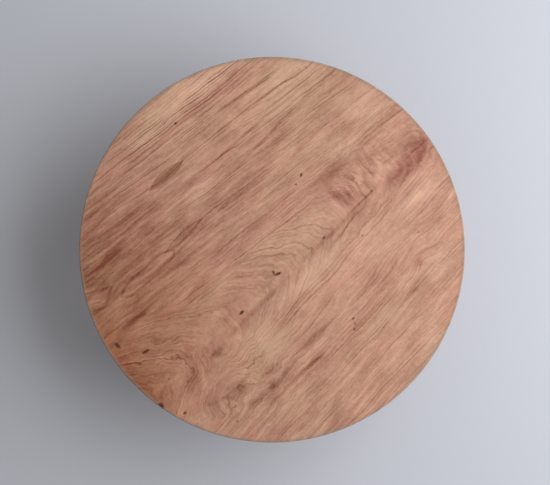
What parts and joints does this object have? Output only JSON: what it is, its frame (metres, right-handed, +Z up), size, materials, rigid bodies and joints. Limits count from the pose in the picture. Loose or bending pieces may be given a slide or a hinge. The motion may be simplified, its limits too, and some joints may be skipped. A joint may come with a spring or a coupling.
{
  "type": "folding low table",
  "caption": "Low round wooden table for sitting at on the floor, with hinged leg pairs and drop-in props that fold flat under the top.",
  "frame": {"origin": "on the floor, under the middle of the round top", "axes": "+Z up, +X along the grain of the top, +Y towards the rear leg pair"},
  "size_m": [0.7579, 0.758, 0.265],
  "materials": {
    "keyaki_top": "sanded zelkova, thin oil finish, satin",
    "keyaki_battens": "planed zelkova, oiled",
    "keyaki_legs": "planed zelkova, oiled, soft arrises",
    "keyaki_props": "planed zelkova, oiled",
    "oak_pins": "turned white oak, burnished by turning",
    "brass_hinges": "stamped sheet brass, aged",
    "steel_screws": "slotted steel wood screws, dull zinc"
  },
  "bodies": {
    "table": {"top": "keyaki_top", "left_batten": "keyaki_battens", "right_batten": "keyaki_battens", "batten_screws": "steel_screws", "front_cleat": "keyaki_battens", "rear_cleat": "keyaki_battens", "front_cleat_screws": "steel_screws", "rear_cleat_screws": "steel_screws", "front_fixed_leaf": "brass_hinges", "rear_fixed_leaf": "brass_hinges", "front_fixed_leaf_screws": "steel_screws", "rear_fixed_leaf_screws": "steel_screws", "front_hinge_pin": "brass_hinges", "rear_hinge_pin": "brass_hinges"},
    "front_leg_pair": {"front_left_leg": "keyaki_legs", "front_right_leg": "keyaki_legs", "front_stretcher": "keyaki_legs", "front_pivot_pins": "oak_pins", "front_tenon_pegs": "oak_pins"},
    "front_prop": {"front_prop": "keyaki_props", "front_moving_leaf": "brass_hinges", "front_moving_leaf_screws": "steel_screws"},
    "rear_leg_pair": {"rear_left_leg": "keyaki_legs", "rear_right_leg": "keyaki_legs", "rear_stretcher": "keyaki_legs", "rear_pivot_pins": "oak_pins", "rear_tenon_pegs": "oak_pins"},
    "rear_prop": {"rear_prop": "keyaki_props", "rear_moving_leaf": "brass_hinges", "rear_moving_leaf_screws": "steel_screws"}
  },
  "joints": [
    {"name": "front_leg_fold", "type": "hinge", "parent": "table", "child": "front_leg_pair", "pos_m": [0, -0.224, 0.217], "axis": [1, 0, 0], "range_deg": [0, 90]},
    {"name": "front_prop_lift", "type": "hinge", "parent": "table", "child": "front_prop", "pos_m": [0, -0.1, 0.23125], "axis": [-1, 0, 0], "range_deg": [0, 41.81]},
    {"name": "rear_leg_fold", "type": "hinge", "parent": "table", "child": "rear_leg_pair", "pos_m": [0, 0.224, 0.217], "axis": [-1, 0, 0], "range_deg": [0, 90]},
    {"name": "rear_prop_lift", "type": "hinge", "parent": "table", "child": "rear_prop", "pos_m": [0, 0.1, 0.23125], "axis": [1, 0, 0], "range_deg": [0, 41.81]}
  ],
  "couplings": [
    {"joint": "front_prop_lift", "follows": "front_leg_fold", "ratio": 0.46457},
    {"joint": "rear_prop_lift", "follows": "rear_leg_fold", "ratio": 0.46457}
  ]
}
